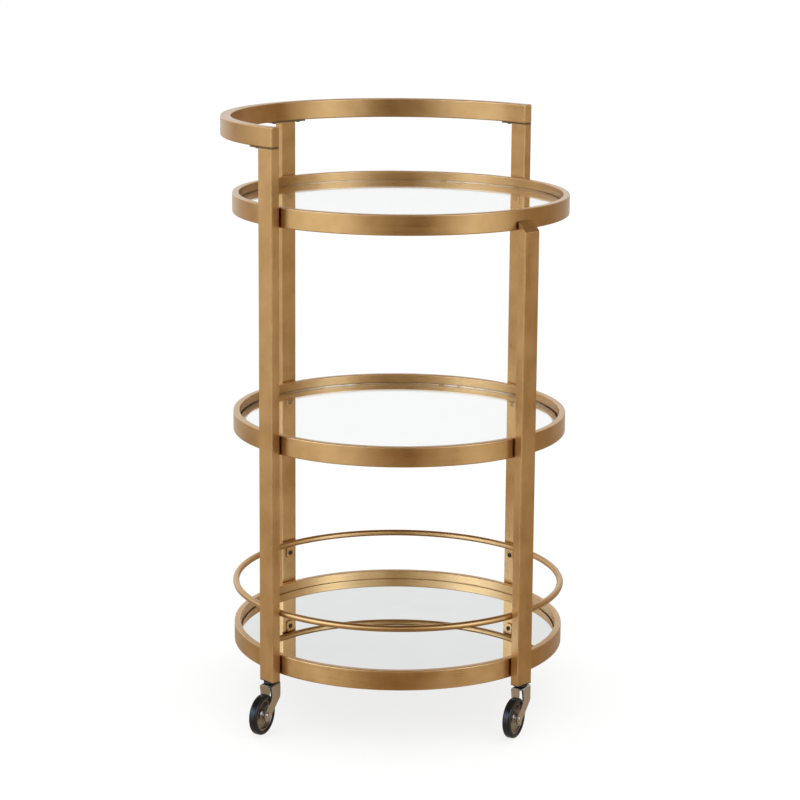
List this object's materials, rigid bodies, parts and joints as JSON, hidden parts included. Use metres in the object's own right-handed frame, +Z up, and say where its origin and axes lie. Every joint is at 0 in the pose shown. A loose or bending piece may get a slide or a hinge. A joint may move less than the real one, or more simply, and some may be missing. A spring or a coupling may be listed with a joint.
{
  "type": "bar cart",
  "caption": "Round three-tier bar cart with glass shelves, a mirror base shelf with guard rail, a half-round push handle and swivel casters.",
  "frame": {"origin": "on the floor, on the common axis of the three shelf rings", "axes": "+Z up; the short post stands at +X -Y and the push handle's middle is at -X +Y, so the cart's front, as seen in the reference view, faces -Y"},
  "size_m": [0.5355, 0.5355, 0.9144],
  "materials": {
    "antique_brass": "brushed antique brass plating on steel tube",
    "clear_glass": "clear tempered glass",
    "mirror": "silvered mirror glass, grey painted back",
    "clear_pads": "clear soft bumper pads",
    "black_steel": "black oxide",
    "black_plastic": "moulded black plastic",
    "nickel": "satin nickel plating",
    "tyre_rubber": "smooth black rubber"
  },
  "bodies": {
    "frame": {"post_front_left": "antique_brass", "post_front_right": "antique_brass", "post_back_left": "antique_brass", "post_back_right": "antique_brass", "short_post_cap": "antique_brass", "handle_rail": "antique_brass", "handle_end_caps": "antique_brass", "top_ring": "antique_brass", "middle_ring": "antique_brass", "bottom_ring": "antique_brass", "top_ledge": "antique_brass", "middle_ledge": "antique_brass", "bottom_ledge": "antique_brass", "top_tabs": "antique_brass", "middle_tabs": "antique_brass", "bottom_tabs": "antique_brass", "guard_rail": "antique_brass", "guard_tabs": "antique_brass", "strap_front_left": "black_steel", "strap_back_left": "black_steel", "strap_back_right": "black_steel", "handle_screws": "black_steel", "top_screws": "black_steel", "middle_screws": "black_steel", "bottom_screws": "black_steel", "guard_screws": "black_steel", "top_glass": "clear_glass", "middle_glass": "clear_glass", "bottom_mirror": "mirror", "top_pads": "clear_pads", "middle_pads": "clear_pads", "bottom_pads": "clear_pads", "caster_sockets": "black_plastic", "caster_stems": "nickel", "swivel_bearings": "black_plastic"},
    "caster_front_left": {"fork_front_left": "nickel", "axle_front_left": "nickel"},
    "wheel_front_left": {"hub_front_left": "nickel", "tyre_front_left": "tyre_rubber"},
    "caster_front_right": {"fork_front_right": "nickel", "axle_front_right": "nickel"},
    "wheel_front_right": {"hub_front_right": "nickel", "tyre_front_right": "tyre_rubber"},
    "caster_back_left": {"fork_back_left": "nickel", "axle_back_left": "nickel"},
    "wheel_back_left": {"hub_back_left": "nickel", "tyre_back_left": "tyre_rubber"},
    "caster_back_right": {"fork_back_right": "nickel", "axle_back_right": "nickel"},
    "wheel_back_right": {"hub_back_right": "nickel", "tyre_back_right": "tyre_rubber"}
  },
  "joints": [
    {"name": "front_left_swivel", "type": "hinge", "parent": "frame", "child": "caster_front_left", "pos_m": [-0.18915, -0.18915, 0.073], "axis": [0, 0, 1], "continuous": true},
    {"name": "front_left_roll", "type": "hinge", "parent": "caster_front_left", "child": "wheel_front_left", "pos_m": [-0.19967, -0.21072, 0.0305], "axis": [0.8988, -0.4384, 0], "continuous": true},
    {"name": "front_right_swivel", "type": "hinge", "parent": "frame", "child": "caster_front_right", "pos_m": [0.18915, -0.18915, 0.073], "axis": [0, 0, 1], "continuous": true},
    {"name": "front_right_roll", "type": "hinge", "parent": "caster_front_right", "child": "wheel_front_right", "pos_m": [0.17863, -0.21072, 0.0305], "axis": [0.8988, -0.4384, 0], "continuous": true},
    {"name": "back_left_swivel", "type": "hinge", "parent": "frame", "child": "caster_back_left", "pos_m": [-0.18915, 0.18915, 0.073], "axis": [0, 0, 1], "continuous": true},
    {"name": "back_left_roll", "type": "hinge", "parent": "caster_back_left", "child": "wheel_back_left", "pos_m": [-0.19967, 0.16758, 0.0305], "axis": [0.8988, -0.4384, 0], "continuous": true},
    {"name": "back_right_swivel", "type": "hinge", "parent": "frame", "child": "caster_back_right", "pos_m": [0.18915, 0.18915, 0.073], "axis": [0, 0, 1], "continuous": true},
    {"name": "back_right_roll", "type": "hinge", "parent": "caster_back_right", "child": "wheel_back_right", "pos_m": [0.17863, 0.16758, 0.0305], "axis": [0.8988, -0.4384, 0], "continuous": true}
  ]
}
